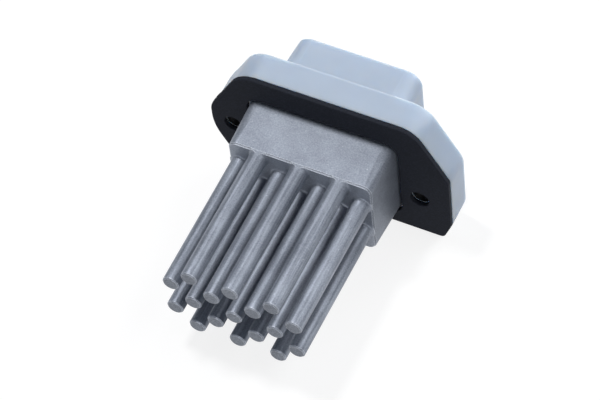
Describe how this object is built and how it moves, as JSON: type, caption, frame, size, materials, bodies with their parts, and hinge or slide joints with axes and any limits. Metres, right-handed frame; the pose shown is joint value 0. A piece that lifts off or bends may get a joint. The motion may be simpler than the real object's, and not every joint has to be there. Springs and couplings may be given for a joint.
{
  "type": "blower motor resistor",
  "caption": "Electronic blower motor resistor: die-cast block with long tapered cooling pins, black foam gasket and moulded flange housing with a plug socket and screw ears.",
  "frame": {"origin": "centre of the pin pattern in the plane of the gasket's front face, where the part seals against the air duct", "axes": "-Y along the cooling pins into the duct, +Y towards the plug socket, +X along the flange towards its longer ear, +Z across the flange from its narrow margin to its wide one; the part lies on the flange's lower edge and its pins"},
  "size_m": [0.0716, 0.0767, 0.0442],
  "materials": {
    "cast_aluminium": "die cast and shot blasted, fine matte grain",
    "foam_rubber": "closed-cell black foam, matte",
    "natural_nylon": "natural unpigmented moulding, milky and slightly cool, satin",
    "zinc_plated_steel": "bright zinc plating",
    "thermal_pad": "silicone pad, matte",
    "tinned_copper": "hot tinned, soft sheen",
    "black_epoxy": "transfer-moulded epoxy, fine matte",
    "glass_epoxy_board": "green solder mask over glass epoxy",
    "tinned_brass": "stamped and tinned",
    "can_aluminium": "drawn can, satin",
    "bung_rubber": "moulded rubber",
    "ochre_coating": "dipped resin coating",
    "resistance_strip": "rolled alloy strip",
    "glazed_ceramic": "glazed chip",
    "diode_glass": "sealed glass bead"
  },
  "bodies": {
    "root": {"heat_sink": "cast_aluminium", "gasket": "foam_rubber", "housing": "natural_nylon", "housing_screws": "zinc_plated_steel", "insulating_pad": "thermal_pad", "transistor_tab": "tinned_copper", "transistor_body": "black_epoxy", "transistor_leads": "tinned_copper", "spring_washer": "zinc_plated_steel", "transistor_screw": "zinc_plated_steel", "circuit_board": "glass_epoxy_board", "power_terminal": "tinned_brass", "motor_terminal": "tinned_brass", "signal_terminal": "tinned_brass", "ground_terminal": "tinned_brass", "capacitor_can": "can_aluminium", "capacitor_bung": "bung_rubber", "capacitor_leads": "tinned_copper", "amplifier_body": "black_epoxy", "amplifier_leads": "tinned_copper", "ceramic_capacitor": "ochre_coating", "ceramic_capacitor_leads": "tinned_copper", "current_shunt": "resistance_strip", "chip_resistors": "glazed_ceramic", "diode_body": "diode_glass", "diode_caps": "tinned_copper"}
  },
  "joints": []
}
